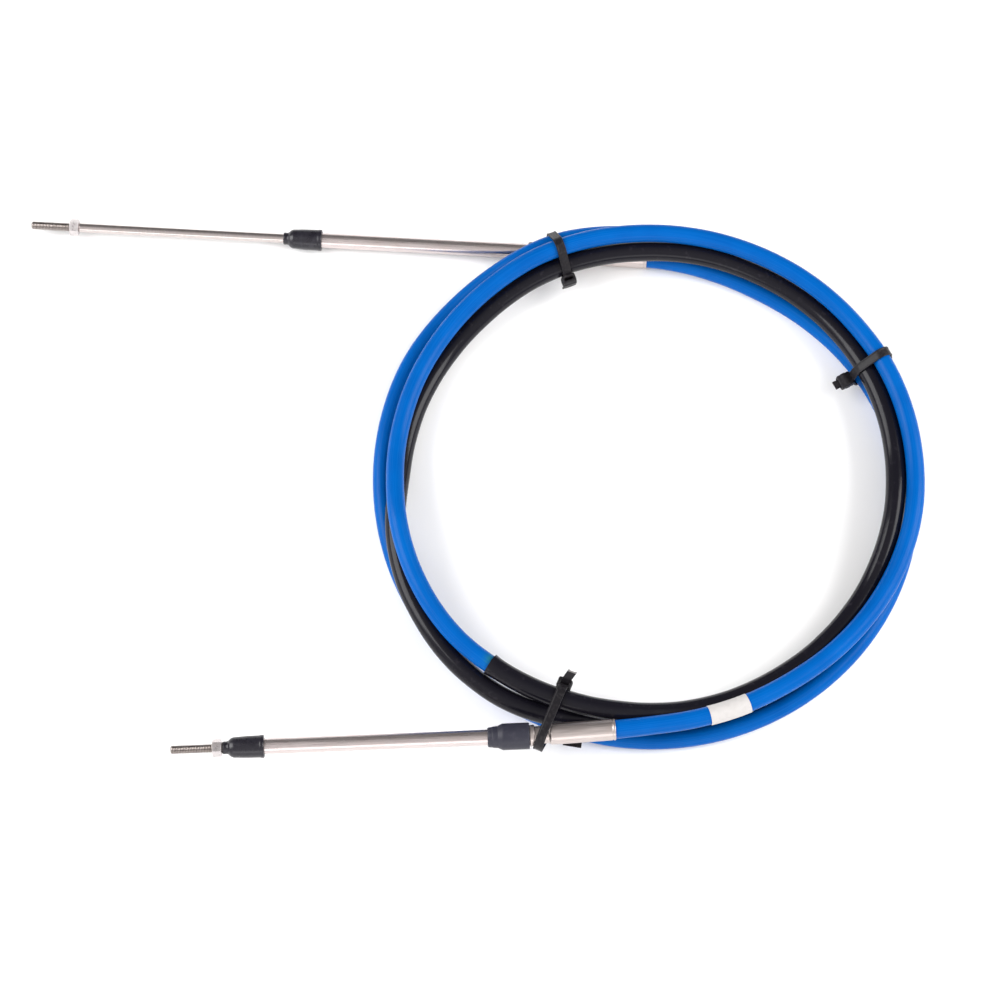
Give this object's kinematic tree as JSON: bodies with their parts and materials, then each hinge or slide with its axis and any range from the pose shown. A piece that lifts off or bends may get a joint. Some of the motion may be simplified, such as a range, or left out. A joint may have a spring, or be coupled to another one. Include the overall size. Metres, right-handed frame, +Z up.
{
  "type": "boat steering cable",
  "caption": "Coiled push-pull steering cable with a plastic-jacketed conduit, a protective sleeve, swivelling support tubes and sliding threaded rod ends.",
  "frame": {"origin": "middle of the underside of the part's box, on the floor it lies on", "axes": "+Z up through the coil's axis direction; +X from the rod ends towards the coil; +Y from the lower end fitting in the picture towards the upper one"},
  "size_m": [0.4784, 0.3052, 0.0362],
  "materials": {
    "jacket": "extruded blue plastic jacket, satin gloss",
    "sleeve": "black plastic sleeve, glossy with faint scuffs",
    "label": "blank white film wrap",
    "steel": "drawn stainless steel, fine marks along and around",
    "nut": "bright machined nut",
    "rubber": "moulded black rubber, matte",
    "nylon": "moulded black nylon"
  },
  "bodies": {
    "coil": {"conduit": "jacket", "protective_sleeve": "sleeve", "label_band": "label", "top_hub": "steel", "bottom_hub": "steel", "top_tie": "nylon", "right_tie": "nylon", "bottom_tie": "nylon"},
    "top_tube": {"top_support_tube": "steel", "top_boot": "rubber", "top_seal": "rubber"},
    "top_rod_end": {"top_rod": "steel", "top_nut": "nut"},
    "bottom_tube": {"bottom_support_tube": "steel", "bottom_boot": "rubber", "bottom_seal": "rubber"},
    "bottom_rod_end": {"bottom_rod": "steel", "bottom_nut": "nut"}
  },
  "joints": [
    {"name": "top_tube_swivel", "type": "hinge", "parent": "coil", "child": "top_tube", "pos_m": [0.05269, 0.13273, 0.00686], "axis": [0, 0, 1], "range_deg": [-9.1, 6.9]},
    {"name": "top_rod_slide", "type": "slide", "parent": "top_tube", "child": "top_rod_end", "axis": [-0.9984, 0.0571, 0], "range_m": [-0.112, 0]},
    {"name": "bottom_tube_swivel", "type": "hinge", "parent": "coil", "child": "bottom_tube", "pos_m": [0.03107, -0.14127, 0.02861], "axis": [0, 0, 1], "range_deg": [-6, 10]},
    {"name": "bottom_rod_slide", "type": "slide", "parent": "bottom_tube", "child": "bottom_rod_end", "axis": [-0.9992, -0.0402, 0], "range_m": [0, 0.112]}
  ],
  "couplings": [
    {"joint": "bottom_rod_slide", "follows": "top_rod_slide", "ratio": -1}
  ]
}
